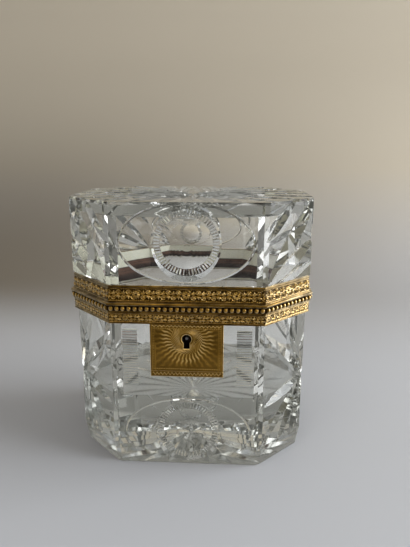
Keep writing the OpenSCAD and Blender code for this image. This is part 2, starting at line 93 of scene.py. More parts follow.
def smooth(mesh, degrees):
    # shades a mesh smooth, apart from edges that turn by more than an angle
    mesh.polygons.foreach_set("use_smooth", np.ones(len(mesh.polygons), bool))
    mesh.set_sharp_from_angle(angle=math.radians(degrees))


def placed(name, data):
    # a new object in the scene
    obj = bpy.data.objects.new(name, data)
    bpy.context.scene.collection.objects.link(obj)
    return obj


def meshFrom(name, points, faces, material=None, sharp=None):
    # points in millimetres; faces is a list of index rows; sharp is the angle that stays an edge
    mesh = bpy.data.meshes.new(name)
    mesh.from_pydata((np.asarray(points) * mm).tolist(), [], [list(map(int, f)) for f in faces])
    if material:
        mesh.materials.append(material)
    if sharp is not None:
        smooth(mesh, sharp)
    return placed(name, mesh)


def tube(rings, cols):
    # rings of cols points each, joined in turn and capped at both ends
    rows = len(rings) // cols
    faces = gridFaces(rows, cols, closeCols=True).tolist()
    faces.append(list(range(cols)))
    faces.append(list(range((rows - 1) * cols, rows * cols))[::-1])
    return rings, faces


def joinParts(parts):
    # several (points, faces) put into one
    points, faces, start = [], [], 0
    for p, f in parts:
        points.append(np.asarray(p).reshape(-1, 3))
        faces += [[int(k) + start for k in row] for row in f]
        start += len(points[-1])
    return np.vstack(points), faces


def outward(obj):
    # turns a closed mesh the right way out when its signed volume comes out below nothing
    mesh = obj.data
    mesh.calc_loop_triangles()
    co = np.array([v.co for v in mesh.vertices], float)
    tri = np.array([t.vertices for t in mesh.loop_triangles])
    volume = np.einsum("ij,ij->i", co[tri[:, 0]], np.cross(co[tri[:, 1]], co[tri[:, 2]])).sum()
    if volume < 0:
        mesh.flip_normals()
    return obj


def finishMesh(obj, cutters, degrees):
    # takes the cutters out one after another and keeps the result as a plain smooth mesh
    for k, cutter in enumerate(cutters):
        step = obj.modifiers.new(f"cut{k}", "BOOLEAN")
        step.operation = "DIFFERENCE"
        step.solver = "MANIFOLD"
        step.object = cutter
    bpy.context.view_layer.update()
    mesh = bpy.data.meshes.new_from_object(obj.evaluated_get(bpy.context.evaluated_depsgraph_get()))
    obj.modifiers.clear()
    obj.data = mesh
    for cutter in cutters:
        bpy.data.objects.remove(cutter)
    smooth(mesh, degrees)
    return obj


def wear(obj, material):
    # one material over the whole of a piece
    obj.data.materials.clear()
    obj.data.materials.append(material)


def storeValues(obj, name, domain, values):
    # one number for each point or face, which a material reads by its name
    store = obj.data.attributes.new(name, "FLOAT", domain)
    store.data.foreach_set("value", values.ravel().astype(np.float32))
    return obj


# wheel cuts: mitreHalf is half of the wheel's angle, overrun how far a cutter stands out of the face,
# ovalGrid its first and last ring with the numbers of rings and spokes, and rough the roughness that a cut leaves
cuts = {"mitreHalf": 55, "stepDegrees": 1.2, "overrun": 0.7, "turnOver": 0.01, "sharpDegrees": 2.6, "arris": 3,
        "fanOver": 3, "ovalHalf": (34.5, 20.5), "ovalDepth": 2.5, "ovalGrid": (0.02, 1.12, 24, 120),
        "ovalLine": (0.72, 0.62), "roundSteps": 200, "ringRadius": 17.1, "ringDepth": 2.7, "dishRadius": 13.5,
        "dishDepth": 3.9, "dishStart": 0.15, "dishSteps": 12, "notches": 60, "notchWidth": 0.95, "notchMargin": 0.3,
        "bars": 22, "barWidth": 1.2, "ladderWidth": 8, "flankFacing": (0.76, 0.913), "fineWithin": 3,
        "flankRough": 0.05, "groundRough": 0.15, "fineRough": 0.22}


def markSatin(obj, floorLevel, low, high):
    # roughness of each face: the flanks of the broad leaves, which slope away from every side and from the level by
    # the wheel's angle, the fine bars and notches of the front and back, and the ground inner floor and foot
    count = len(obj.data.polygons)
    normals, centres = np.empty(count * 3), np.empty(count * 3)
    obj.data.polygons.foreach_get("normal", normals)
    obj.data.polygons.foreach_get("center", centres)
    normals, centres = normals.reshape(-1, 3), centres.reshape(-1, 3) / mm
    arrisWays = np.radians([22.5, 157.5, 202.5, 337.5])
    planes = np.array([(*sideFrame(i)[2], 0) for i in range(8)] + [(0, 0, 1), (0, 0, -1)]
                      + [(math.sin(t), math.cos(t), 0) for t in arrisWays])
    facing = np.abs(normals @ planes.T).max(1)
    steep, shallow = cuts["flankFacing"]
    flank = (facing > steep) & (facing < shallow)
    across, deep, up = np.abs(centres[:, 0]), np.abs(centres[:, 1]), centres[:, 2]
    fine = flank & (deep > box["depth"] / 2 - cuts["fineWithin"]) & (across < sideLength(0) / 2 - cuts["arris"])
    fine &= (up > low) & (up < high)
    ground = (np.abs(normals[:, 2]) > 0.99) & ((np.abs(up - floorLevel) < 0.1) | (up < 0.1))
    rough = np.where(flank, cuts["flankRough"], 0)
    rough = np.where(fine, cuts["fineRough"], np.where(ground, cuts["groundRough"], rough))
    return storeValues(obj, "satin", "FACE", rough)


def laid(middle, way, along, side, up):
    # points along a way from the middle and to its side, up out of the face
    return pointsFrom(middle[0] + along * way[0] - side * way[1], middle[1] + along * way[1] + side * way[0], up)


def leaf(start, end, width):
    # a double cone wheel of radius (reach^2 / 4 + depth^2) / (2 depth) rolled along a line: the rim is an arc
    # that dips depth = width / (2 tan half angle) into the face, and the flanks rise from it at the half angle
    start, end = np.array(start, float), np.array(end, float)
    reach = np.linalg.norm(end - start)
    slope = math.tan(math.radians(cuts["mitreHalf"]))
    depth = width / 2 / slope
    radius = (reach ** 2 / 4 + depth ** 2) / (2 * depth)
    half = math.asin(reach / 2 / radius) + cuts["turnOver"]
    steps = max(8, math.ceil(math.degrees(2 * half) / cuts["stepDegrees"]))
    turn = np.linspace(-half, half, steps + 1)[:, None]
    rise = depth + cuts["overrun"]
    shrink = radius - np.array([[rise, 0, rise]])
    side = np.array([[-1, 0, 1]]) * rise * slope
    x = shrink * np.sin(turn)
    z = radius - depth - shrink * np.cos(turn)
    return tube(laid((start + end) / 2, (end - start) / reach, x, side, z), 3)


def ovalHollow(height):
    # floor depth x (1 - (x / a)^2 - (y / b)^2), carried a little past the face and closed on top
    a, b = cuts["ovalHalf"]
    first, last, rings, spokes = cuts["ovalGrid"]
    ring, turn = np.meshgrid(np.linspace(first, last, rings),
                             np.linspace(0, 2 * math.pi, spokes, endpoint=False), indexing="ij")
    z = -cuts["ovalDepth"] * (1 - ring ** 2)
    return tube(pointsFrom(a * ring * np.cos(turn), height + b * ring * np.sin(turn), z), spokes)


def ovalLine(height):
    # the thin V groove round the hollow: three edges carried along the ellipse, the middle one the lowest
    (a, b), (half, depth) = cuts["ovalHalf"], cuts["ovalLine"]
    lift = 0.3
    turn = np.linspace(0, 2 * math.pi, 2 * cuts["roundSteps"], endpoint=False)[:, None]
    across = np.array([[-1, 0, 1]]) * half * (depth + lift) / depth
    z = np.array([[lift, -depth, lift]])
    points = pointsFrom((a + across) * np.cos(turn), height + (b + across) * np.sin(turn), z)
    return points, gridFaces(len(turn), 3, closeRows=True, closeCols=True).tolist()


def roundCut(height):
    # revolved profile: a shallow spherical dish, a flat ring and a wall that rises outwards at 45 degrees
    r, d = cuts["dishRadius"], cuts["dishDepth"]
    bowl = (r * r + d * d) / (2 * d)
    dish = np.linspace(cuts["dishStart"], r, cuts["dishSteps"])
    profile = [(q, -cuts["ringDepth"] - d + bowl - math.sqrt(bowl ** 2 - q * q)) for q in dish]
    outer = cuts["ringRadius"]
    profile += [(outer, -cuts["ringDepth"]), (outer + cuts["ringDepth"] + 1, 1.0)]
    out, z = np.array(profile).T[..., None]
    turn = np.linspace(0, 2 * math.pi, cuts["roundSteps"], endpoint=False)
    return tube(pointsFrom(out * np.cos(turn), height + out * np.sin(turn), z), len(turn))


def groove(middle, way, length, width, level):
    # a short V groove: three long edges, the lowest half a width under the level
    ends = np.array([-length / 2, length / 2])[:, None]
    side = np.array([[-1, 0, 1]]) * width
    drop = np.array([[width / 2, -width / 2, width / 2]])
    return tube(laid(middle, way, ends, side, level + drop), 3)


def ringNotches(height):
    # grooves set radially on the flat ring at equal turns
    inner, outer = cuts["dishRadius"] + cuts["notchMargin"], cuts["ringRadius"] - cuts["notchMargin"]
    turn = np.arange(cuts["notches"]) * 2 * math.pi / cuts["notches"]
    radius = (inner + outer) / 2
    return joinParts([groove((radius * math.cos(t), height + radius * math.sin(t)), (math.cos(t), math.sin(t)),
                             outer - inner, cuts["notchWidth"], -cuts["ringDepth"]) for t in turn])


def ladderBars(x, low, high):
    # level grooves one above another, each in the middle of its share of the height
    step = (high - low) / cuts["bars"]
    return joinParts([groove((x, low + (k + 0.5) * step), (1, 0), cuts["ladderWidth"], cuts["barWidth"], 0)
                      for k in range(cuts["bars"])])


# bars on a leaf's flanks: the part of its length and of its half width that they take, their half width, and how
# far their edges stand out and their middle lies in
leafBar = {"along": (0.30, 0.62), "across": (0.15, 0.85), "half": 0.36, "lip": 0.3, "deep": 0.38}


def leafNotches(start, end, width, count):
    # bars up both flanks of a leaf: each runs from its valley to its rim, and rings of three are its two ends
    start, end = np.array(start, float), np.array(end, float)
    along = (end - start) / np.linalg.norm(end - start)
    depth = width / 2 / math.tan(math.radians(cuts["mitreHalf"]))
    parts = []
    ends = np.array(leafBar["across"])[:, None]
    step = np.array([[-1, 0, 1]]) * leafBar["half"]
    drop = np.array([[leafBar["lip"], -leafBar["deep"], leafBar["lip"]]])
    for fraction in np.linspace(*leafBar["along"], count):
        middle = start + fraction * (end - start)
        bed = depth * 4 * fraction * (1 - fraction)
        for s in (-1, 1):
            parts.append(tube(laid(middle, along, step, s * ends * width / 2, drop - bed * (1 - ends)), 3))
    return joinParts(parts)


def prism(outline, low, high):
    # an upright block over a flat outline
    outline = np.asarray(outline, float)
    rings = [np.column_stack([outline, np.full(len(outline), z)]) for z in (low, high)]
    return tube(np.vstack(rings), len(outline))


def outlineWithArrises(out):
    # the octagon with a narrow flat on each corner of the front and the back, square to the bisector of 22.5 degrees
    corners = octagon(out)
    step = cuts["arris"] / (2 * math.cos(math.radians(22.5)))
    points = []
    for k, corner in enumerate(corners):
        before, after = corners[k - 1], corners[(k + 1) % 8]
        if k in (0, 1, 4, 5):
            points += [corner + step * (q - corner) / np.linalg.norm(q - corner) for q in (before, after)]
        else:
            points.append(corner)
    return np.array(points)


def stack(levels):
    # the outline at several (height, out) levels, lofted and capped
    outlines = [outlineWithArrises(out) for z, out in levels]
    rings = [np.column_stack([outline, np.full(len(outline), z)]) for outline, (z, out) in zip(outlines, levels)]
    return tube(np.vstack(rings), len(outlines[0]))


cutterObjects = []


def cutter(part, place=None):
    # a closed (points, faces) shape, taken to its place and kept for the glass that is being made
    points, faces = part
    if place is not None:
        points = place(points)
    obj = outward(meshFrom("cutter", points, faces))
    cutterObjects.append(obj)
    return obj


def fan(origin, targets):
    # leaves from one point to each (x, y, width), carried back past the point by fanOver
    origin = np.array(origin, float)
    parts = []
    for x, y, width in targets:
        to = np.array([x, y], float)
        away = (origin - to) / np.linalg.norm(origin - to)
        parts.append(leaf(origin + cuts["fanOver"] * away, to, width))
    return parts


def cutChamfers(parts, out):
    # the same shapes on all four chamfers, mirrored so that they meet the narrow sides alike
    for part in parts:
        for i, flip in ((1, False), (5, False), (3, True), (7, True)):
            cutter(part, lambda p, i=i, flip=flip: onSide(p, i, out, flip))


def cutSides(parts, out):
    # the same shapes on both narrow sides, and mirrored beside themselves
    for part in parts:
        for i in (2, 6):
            for flip in (False, True):
                cutter(part, lambda p, i=i, flip=flip: onSide(p, i, out, flip))


def cutMedallion(height, out):
    # oval hollow, its line, the round cut and its notches, on the front and the back
    for i in (0, 4):
        for part in (ovalHollow(height), ovalLine(height), roundCut(height), ringNotches(height)):
            cutter(part, lambda p, i=i: onSide(p, i, out))


def cutStar(count, near, past, width, level, sign, out):
    # leaves from the middle to past the front by one amount and past the other sides by another
    for k in range(count):
        t = 2 * math.pi * k / count
        way = np.array([math.cos(t), math.sin(t)])
        sides = enumerate(sideFrame(i, out) for i in range(8))
        far, i = min((middle @ away / (way @ away), i) for i, (middle, _, away) in sides if way @ away > 0.01)
        far += past[1] if i == 0 else past[0]
        cutter(leaf(near * way, far * way, width),
               lambda p: np.column_stack([p[:, 0], p[:, 1], level + sign * p[:, 2]]))


def cutArrisLeaves(low, high, width, out):
    # upright leaves down the arrises between the front or back and the chamfers
    corners = octagon(out)
    for k in (0, 1, 4, 5):
        angle = math.radians(45 * k - 22.5)
        away = np.array([math.sin(angle), -math.cos(angle)])
        along = np.array([math.cos(angle), math.sin(angle)])
        foot = corners[k] - away * cuts["arris"] / 2 * math.tan(math.radians(22.5))
        part = leaf((0, low), (0, high), width)
        cutter(part, lambda p, foot=foot, away=away, along=along: np.column_stack(
            [foot + p[:, 0:1] * along + p[:, 2:3] * away, p[:, 1]]))


# pocket: half width, foot, top and depth; star: leaves, where they start and their width; arrisLeaf: foot, top, width
baseGlass = {"top": 89.7, "floor": 40, "foot": 12, "footIn": 2, "bandLow": 84.9, "medallion": 20.5,
             "pocket": (18.3, 56.1, 90.5, 6.0), "star": (24, 1.5, 7.5), "starPast": (-4, -2), "arrisLeaf": (6, 46, 4.6),
             "leafBars": 11, "ladderEnds": (9, 3.5), "fineFrom": 5}


def makeBaseGlass():
    # narrower at the foot, hollow above the floor, with a pocket for the lock
    g = baseGlass
    cutterObjects.clear()
    body = outward(meshFrom("crystalBase", *stack([(0, -g["footIn"]), (g["foot"], 0), (g["top"], 0)])))
    cutter(prism(octagon(-box["wall"]), g["floor"], g["top"] + 1))
    x, low, high, deep = g["pocket"]
    y = -box["depth"] / 2
    cutter(prism([(-x, y - 2), (x, y - 2), (x, y + deep), (-x, y + deep)], low, high))
    cutMedallion(g["medallion"], 0)
    ladderX = sideLength(0) / 2 - cuts["arris"] / 2 - cuts["ladderWidth"]
    overFloor, underBand = g["ladderEnds"]
    for s in (-1, 1):
        cutter(ladderBars(s * ladderX, g["floor"] + overFloor, g["bandLow"] - underBand), lambda p: onSide(p, 0))
    # each leaf of a fan: where it ends, across and up, and its width
    edge, mid, top, foot = sideLength(1) / 2, g["floor"] + g["foot"] / 2, g["bandLow"], g["foot"]
    cutChamfers(fan((edge, mid), [(-edge + 1, top - 5, 7), (edge * 0.1, top + 3, 6), (-edge + 2, mid - 10, 7),
                                  (-edge + 1, foot, 6), (-edge * 0.25, foot / 2, 6), (edge * 0.4, foot / 3, 5)]), 0)
    cutChamfers([leafNotches((edge, mid), (-edge + 1, top - 5), 7, g["leafBars"])], 0)
    edge = sideLength(2) / 2
    cutSides(fan((edge, mid), [(edge * 0.15, top - 4, 6), (edge * 0.1, mid + 7, 5), (edge * 0.1, mid - 8, 5),
                               (edge * 0.15, foot, 6), (edge * 0.6, foot / 3, 4)]), 0)
    cutArrisLeaves(*g["arrisLeaf"], 0)
    count, near, width = g["star"]
    cutStar(count, near, g["starPast"], width, 0, -1, -g["footIn"])
    finishMesh(body, list(cutterObjects), cuts["sharpDegrees"])
    return markSatin(body, g["floor"], g["fineFrom"], g["bandLow"])


lidGlass = {"low": 92.7, "seat": 105.6, "over": 1.6, "ceiling": 140.5, "medallion": 127.5, "star": (24, 2.5, 8.5),
            "starPast": (10, 2.5), "bevel": 0.5, "fineTo": 3}


def makeLidGlass():
    # the neck stands in the collar and the body of the lid overhangs it on a narrow bevel
    g = lidGlass
    over, bevel = g["over"], g["bevel"]
    cutterObjects.clear()
    body = outward(meshFrom("crystalLid", *stack([(g["low"], 0), (g["seat"], 0), (g["seat"] + 0.01, over - bevel),
                                                 (g["seat"] + bevel, over), (box["top"], over)])))
    cutter(prism(octagon(-box["wall"]), g["low"] - 1, g["ceiling"]))
    cutMedallion(g["medallion"], over)
    edge, low, high = sideLength(1, over) / 2, g["seat"], box["top"]
    mid = (low + high) / 2
    # leaves that rise across each chamfer: two ends, across and up, and a width
    cutChamfers([leaf((-edge + 1, low + 1), (edge + 3, high + 2), 10),
                 leaf((-edge + 1, low - 1), (edge + 4, mid + 1), 8),
                 leaf((-edge + 3, low - 3), (edge + 4, low + 9), 5),
                 leaf((-edge - 3, mid - 1), (edge * 0.3, high + 3), 6)], over)
    edge = sideLength(2, over) / 2
    cutSides(fan((edge, mid), [(edge * 0.15, high + 3, 7), (edge * 0.05, mid, 5), (edge * 0.15, low - 2, 7)]), over)
    count, near, width = g["star"]
    cutStar(count, near, g["starPast"], width, box["top"], 1, over)
    finishMesh(body, list(cutterObjects), cuts["sharpDegrees"])
    # the lid has no ground floor, so its level is one that no face has
    return markSatin(body, -1, g["seat"], box["top"] - g["fineTo"])


crystalBase = makeBaseGlass()
print("base glass cut:", len(crystalBase.data.polygons), "facets")
crystalLid = makeLidGlass()
print("lid glass cut:", len(crystalLid.data.polygons), "facets")


def aroundOctagon(side, fraction, out, height):
    # points a fraction of the way along a side of the octagon that is pushed out by out, at a height
    base, grow = octagon(0.0), octagon(1.0) - octagon(0.0)
    a, b = (base[k] + grow[k] * out[..., None] for k in (side, (side + 1) % 8))
    flat = a + (b - a) * fraction[..., None]
    return pointsFrom(flat[..., 0], flat[..., 1], height)


hingeGap = 24.45  # half of the length that the mouldings leave bare for the hinge


def carry(profile, gap=False):
    # a closed profile of (out, height) points carried round the octagon and mitred at its corners,
    # or from one end of the hinge to the other
    profile = np.array(profile, float)
    side, fraction = np.arange(8), np.zeros(8)
    if gap:
        part = hingeGap / sideLength(4, profile[:, 0].mean())
        side = np.array([4, 5, 6, 7, 0, 1, 2, 3, 4, 4])
        fraction = np.array([0.5 + part, 0, 0, 0, 0, 0, 0, 0, 0, 0.5 - part])
    points = aroundOctagon(side[:, None], fraction[:, None], *profile.T[:, None])
    cols = len(profile)
    if gap:
        return tube(points, cols)
    return points, gridFaces(8, cols, closeRows=True, closeCols=True).tolist()


def arc(out, height, radius, low, high, steps):
    # points on a circle from one angle to another, in degrees from straight out
    turn = np.radians(np.linspace(low, high, steps))
    return [(out + radius * math.cos(t), height + radius * math.sin(t)) for t in turn]


# rounds: centre out, centre height, radius, then how far out their back is and its half height
# ledges: how far out the face is and its two heights, then the same for the back
mouldings = {"over": 0.03, "lip": 0.22, "lidRound": (2.5, 95.7, 0.9, 1.9, 0.8), "baseRound": (1.8, 90.8, 0.3, 1.5, 0.3),
             "bandLedge": (2.0, 96.55, 96.9, 1.5, 96.55, 96.9), "lidRim": (1.4, 104.46, 105.08, 0.8, 104.5, 105.08),
             "seamLedge": (2.5, 91.32, 91.9, 2.1, 91.3, 91.9), "footLedge": (2.0, 84.9, 85.28, 1.5, 84.9, 85.5)}


def makeMouldings():
    # smooth skins over the collars' plain members, each sunk into the metal behind it: half circles for the rounds,
    # and for the ledges a quarter circle of the lip radius at each free edge
    m = mouldings
    o, r = m["over"], m["lip"]
    rounds = []
    for key, steps in (("lidRound", 17), ("baseRound", 11)):
        out, height, radius, back, reach = m[key]
        rounds.append(arc(out, height, radius + o, -88, 88, steps) + [(back, height + reach), (back, height - reach)])
    face, low, high, back, backLow, backHigh = m["bandLedge"]
    band = arc(face + o - r, high + o - r, r, 0, 90, 5) + [(back, backHigh + o), (back, backLow), (face + o, low)]
    face, low, high, back, backLow, backHigh = m["lidRim"]
    rim = arc(face + o - r, high - r, r, 0, 90, 5) + [(back, backHigh), (back, backLow)]
    rim += arc(face + o - r, low + r, r, -90, 0, 5)
    face, low, high, back, backLow, backHigh = m["seamLedge"]
    seam = [(face + o - r, backLow)] + arc(face + o - r, low + r, r, -90, 0, 5)
    seam += arc(face + o - r, high + o - r, r, 0, 90, 5) + [(back, backHigh + o), (back, backLow)]
    face, low, high, back, backLow, backHigh = m["footLedge"]
    foot = arc(face + o - r, low + r - o, r, -90, 0, 5) + arc(face + o - r, high - r, r, 0, 60, 4)
    foot += [(back, backHigh + o), (back, backLow - o)]
    return [carry(rounds[0]), carry(band), carry(rim), carry(seam, True)], [carry(foot), carry(rounds[1], True)]


def ridge(distance, width):
    # a rounded rib: e to the minus (distance / width) squared
    return np.exp(-(distance / width) ** 2)


def swell(x, low, high):
    # nothing below low, one above high, with a smooth step between
    t = np.clip((x - low) / (high - low), 0, 1)
    return t * t * (3 - 2 * t)


# the bands: heights and faces of their edges, depth of the chasing, size of a grid cell, length of one scroll; then the
# whorl's radius, how far it stands off the stem and how far apart its arms are, and a rosette at every so many scrolls
lidFrieze = {"low": 97.0, "high": 104.3, "outLow": 1.6, "outHigh": 0.99, "deep": 0.5, "cell": 0.2, "tile": 5.2,
             "whorl": 1.42, "rise": 1.5, "arm": 0.74, "every": 5, "rosette": 2.2, "petal": 1.5, "seed": 7}
baseFrieze = {"low": 85.45, "high": 90.55, "outLow": 1.6, "outHigh": 1.6, "deep": 0.45, "cell": 0.19, "tile": 4.0,
              "whorl": 1.05, "rise": 1.02, "arm": 0.66, "every": 4, "rosette": 1.6, "petal": 1.1, "seed": 8}
# how high each form stands, from 0 to 1, and its half width in mm
chasing = {"stipple": 0.34, "stem": (0.75, 0.2), "stemWave": 0.5, "eye": 0.27, "petals": (-0.62, 0, 0.62),
           "petal": (0.95, 0.3), "seed": (0.9, 0.24),
           "seeds": ((0.0, 0.86), (0.17, 0.30), (-0.17, 0.30), (0.23, 0.80), (-0.23, 0.80)),
           "heart": 0.17, "border": (0.7, 0.14), "borderIn": 0.42, "wear": 0.18}


def petal(x, up, startX, startUp, angle, length, width):
    # a lens shape: as wide as the root of p (1 - p), where p is the part of the way along it
    p = ((x - startX) * math.cos(angle) + (up - startUp) * math.sin(angle)) / length
    across = (up - startUp) * math.cos(angle) - (x - startX) * math.sin(angle)
    return swell(width * 2 * np.sqrt(np.clip(p * (1 - p), 0, 1)) - np.abs(across), 0, 0.16)


def vine(along, up, room, f):
    # height 0 to 1 of a running scroll: whorls stand above and below a waved stem by turns, a palmette of three
    # petals opens opposite each, seeds and punched stipple fill the ground, and rosettes break the run
    tile, half, c = f["tile"], (f["high"] - f["low"]) / 2, chasing
    rng = np.random.default_rng(f["seed"])
    height = c["stipple"] * rng.random(along.shape) ** 2
    stem, width = c["stem"]
    height = np.maximum(height, stem * ridge(up + c["stemWave"] * np.cos(2 * math.pi * along / tile), width))
    for s in (-1, 1):
        t = (along / tile + 0.25 * s) % 1 * tile - tile / 2
        x, v = t, s * up
        radius, angle = np.hypot(x, v - f["rise"]), np.arctan2(v - f["rise"], x)
        curl = (0.5 + 0.5 * np.cos(angle - 2 * math.pi * radius / f["arm"])) ** 1.2
        curl = curl * (1 - swell(radius, f["whorl"] - 0.2, f["whorl"])) * swell(radius, 0.2, 0.36)
        height = np.maximum(height, np.maximum(curl, ridge(radius, c["eye"])))
        x = np.where(t > 0, t - tile / 2, t + tile / 2)
        tall, width = c["petal"]
        for turn in c["petals"]:
            length = f["petal"] * (1 + 0.3 * (turn == 0))
            form = petal(x, v, 0.35 * math.sin(turn), 0.35, math.pi / 2 - turn, length, width)
            height = np.maximum(height, tall * form)
        tall, width = c["seed"]
        for place, level in c["seeds"]:
            height = np.maximum(height, tall * ridge(np.hypot(x - place * tile, v - level * half), width))
    pitch = tile * f["every"]
    middle = np.round(along / pitch) * pitch
    size = f["rosette"]
    fits = np.abs(middle) < room - size
    radius, angle = np.hypot(along - middle, up), np.arctan2(up, along - middle)
    petals = (0.25 + 0.75 * np.abs(np.cos(4 * angle))) * swell(radius, 0.42 * size, 0.52 * size)
    petals = petals * (1 - swell(radius, 0.84 * size, size))
    flower = np.maximum(petals, ridge(radius - 0.36 * size, c["heart"]))
    height = np.where(fits & (radius < size + 0.15), flower, height)
    tall, width = c["border"]
    height = np.maximum(height, tall * ridge(np.abs(up) - half + c["borderIn"], width))
    worn = 1 - c["wear"] * (1 - np.sin(0.83 * along + 1.3 * up) * np.sin(0.31 * along - 0.7 * up))
    return height * swell(room - np.abs(along), 0.1, 0.35) * worn


def makeFrieze(name, f, material, gap):
    # chased strip round the octagon: out = its face + deep x the vine's relief, one mitred grid whose first and
    # last rows turn in behind the face
    rows = int(round((f["high"] - f["low"]) / f["cell"]))
    up = np.linspace(0, 1, rows + 1)[:, None]
    height = f["low"] + up * (f["high"] - f["low"])
    face = f["outLow"] + up * (f["outHigh"] - f["outLow"])
    lengths = np.array([sideLength(i, f["outLow"]) for i in range(8)])
    counts = np.round(lengths / f["cell"]).astype(int)
    side = np.repeat(np.arange(8), counts)[None, :]
    fraction = np.concatenate([np.arange(n) / n for n in counts])[None, :]
    along = (fraction - 0.5) * lengths[side]
    middle = (f["high"] - f["low"]) * (up - 0.5)
    relief = vine(*np.broadcast_arrays(along, middle, lengths[side] / 2), f)
    out = face + 0.05 + f["deep"] * relief
    out[0], out[-1] = face[0] - 0.15, face[-1] - 0.15
    points = aroundOctagon(side, fraction, out, height)
    faces = gridFaces(rows + 1, len(side[0]), closeCols=True)[:, ::-1]
    if gap:
        column = faces.min(1) % len(side[0])
        faces = faces[~((side[0][column] == 4) & (np.abs(along[0][column]) < hingeGap))]
    # the gilt paints the relief's tops as highlights and its hollows darker
    return storeValues(meshFrom(name, points, faces, material, 40), "relief", "POINT", relief)


beads = {"pitch": 3.1, "at": 93.3, "back": 2.3, "plate": 0.2, "channel": (92.0, 94.6), "width": 1.24, "height": 1.36,
         "tip": 78, "rings": 6, "spokes": 8, "square": 0.75, "shine": (0.66, 1.6)}


def makeBeadCourse(material):
    # one barrel bead: rings cos(lat) to the power square wide; the same bead is set out along every side
    b = beads
    lat, lon = np.meshgrid(np.radians(np.linspace(-b["tip"], b["tip"], b["rings"])),
                           np.radians(np.arange(b["spokes"]) * 360 / b["spokes"]), indexing="ij")
    wide = np.cos(lat) ** b["square"]
    points, faces = tube(pointsFrom(b["width"] * wide * np.cos(lon), b["height"] * np.sin(lat),
                                    b["width"] * wide * np.sin(lon)), b["spokes"])
    low, high = b["channel"]
    front = b["back"] + b["plate"]
    parts = [carry([(b["back"], low), (front, low), (front, high), (b["back"], high)], True)]
    for i in range(8):
        length = sideLength(i, b["back"])
        count = int(length // b["pitch"])
        for x in (np.arange(count) - (count - 1) / 2) * length / count:
            if i != 4 or abs(x) > hingeGap + b["width"]:
                parts.append((onSide(points + np.array([x, b["at"], front]), i), faces))
    whole, faces = joinParts(parts)
    sides = [sideFrame(i) for i in range(8)]
    reach = np.max([(whole[:, :2] - middle) @ away for middle, _, away in sides], 0)
    # painted light: the stored value rises towards each bead's front, which the gilt paints as a highlight, and is
    # nothing on its sides and between beads, which it paints as shade
    shine, power = b["shine"]
    highlightAndShade = shine * np.clip((reach - b["back"] - b["plate"]) / b["width"], 0, 1) ** power
    return storeValues(meshFrom("pearlCourse", whole, faces, material, 60), "relief", "POINT", highlightAndShade)


# keyAt is the height of the keyhole's round and slot its width and how far it goes down; the rays turn by swirl for
# each millimetre from the hub to the kink; rows are up from the lower edge, or down from the upper if negative
plate = {"halfWidth": 19.5, "low": 54.9, "high": 84.9, "back": 0.4, "front": 1.4, "cell": 0.19, "cut": 0.22,
         "edge": 0.28, "keyAt": 76.4, "keyRadius": 2.6, "slot": (3.2, 5.4), "keyEdge": 0.3, "rays": 36, "swirl": 0.17,
         "kink": 8.6, "hub": 3.4, "fade": (11.5, 16), "zigzag": (2.0, 0.24), "zigzagRows": ((1.7, 0.75), (-1.3, 0.45)),
         "dots": (0.95, 0.3), "dotRows": (4.6, -2.5), "sideDots": 1.9, "rules": (2.75, 1.1), "ground": 0.27,
         "shine": 0.68}


def engraving(x, z):
    # depth from 0 to 1: rays about the keyhole that swirl out to the kink and run straight beyond it, inside two
    # ruled borders, with a zigzag row and a row of dots above the lower edge and along the top, and dots up the sides
    p = plate
    radius, angle = np.hypot(x, z - p["keyAt"]), np.arctan2(z - p["keyAt"], x)
    twist = p["swirl"] * (np.minimum(radius, p["kink"]) - p["hub"])
    rays = (0.5 + 0.5 * np.cos(p["rays"] * (angle + twist) + 0.5 * np.sin(1.9 * radius))) ** 1.8
    rays = rays * (1 - 0.75 * swell(radius, *p["fade"])) * (0.8 + 0.2 * np.sin(3 * angle + radius))
    tall, up, side, down = p["high"] - p["low"], z - p["low"], p["halfWidth"] - np.abs(x), p["high"] - z
    field = swell(radius, p["hub"], p["hub"] + 0.4) * swell(side, 3.0, 3.3)
    depth = rays * field * swell(up, 5.8, 6.2) * swell(down, 2.6, 2.9)
    inside = swell(side, 1.0, 1.3)
    pitch, width = p["zigzag"]
    wave = np.abs(((x / pitch) % 1) - 0.5) * 4 - 1
    for level, rise in p["zigzagRows"]:
        depth = np.maximum(depth, ridge(up - level % tall - rise * wave, width) * inside)
    pitch, width = p["dots"]
    acrossDot, upDot = (((way / pitch) % 1 - 0.5) * pitch for way in (x, z))
    for level in p["dotRows"]:
        depth = np.maximum(depth, 0.8 * ridge(np.hypot(acrossDot, up - level % tall), width) * inside)
    dots = ridge(np.hypot(upDot, side - p["sideDots"]), width) * swell(up, 5, 5.4) * swell(down, 3, 3.4)
    depth = np.maximum(depth, 0.6 * dots)
    for line in p["rules"]:
        depth = np.maximum(depth, 0.5 * ridge(side - line, 0.15) * swell(up, 3.2, 3.5))
    return np.maximum(depth, 0.5 * ridge(up - 3.2, 0.14))


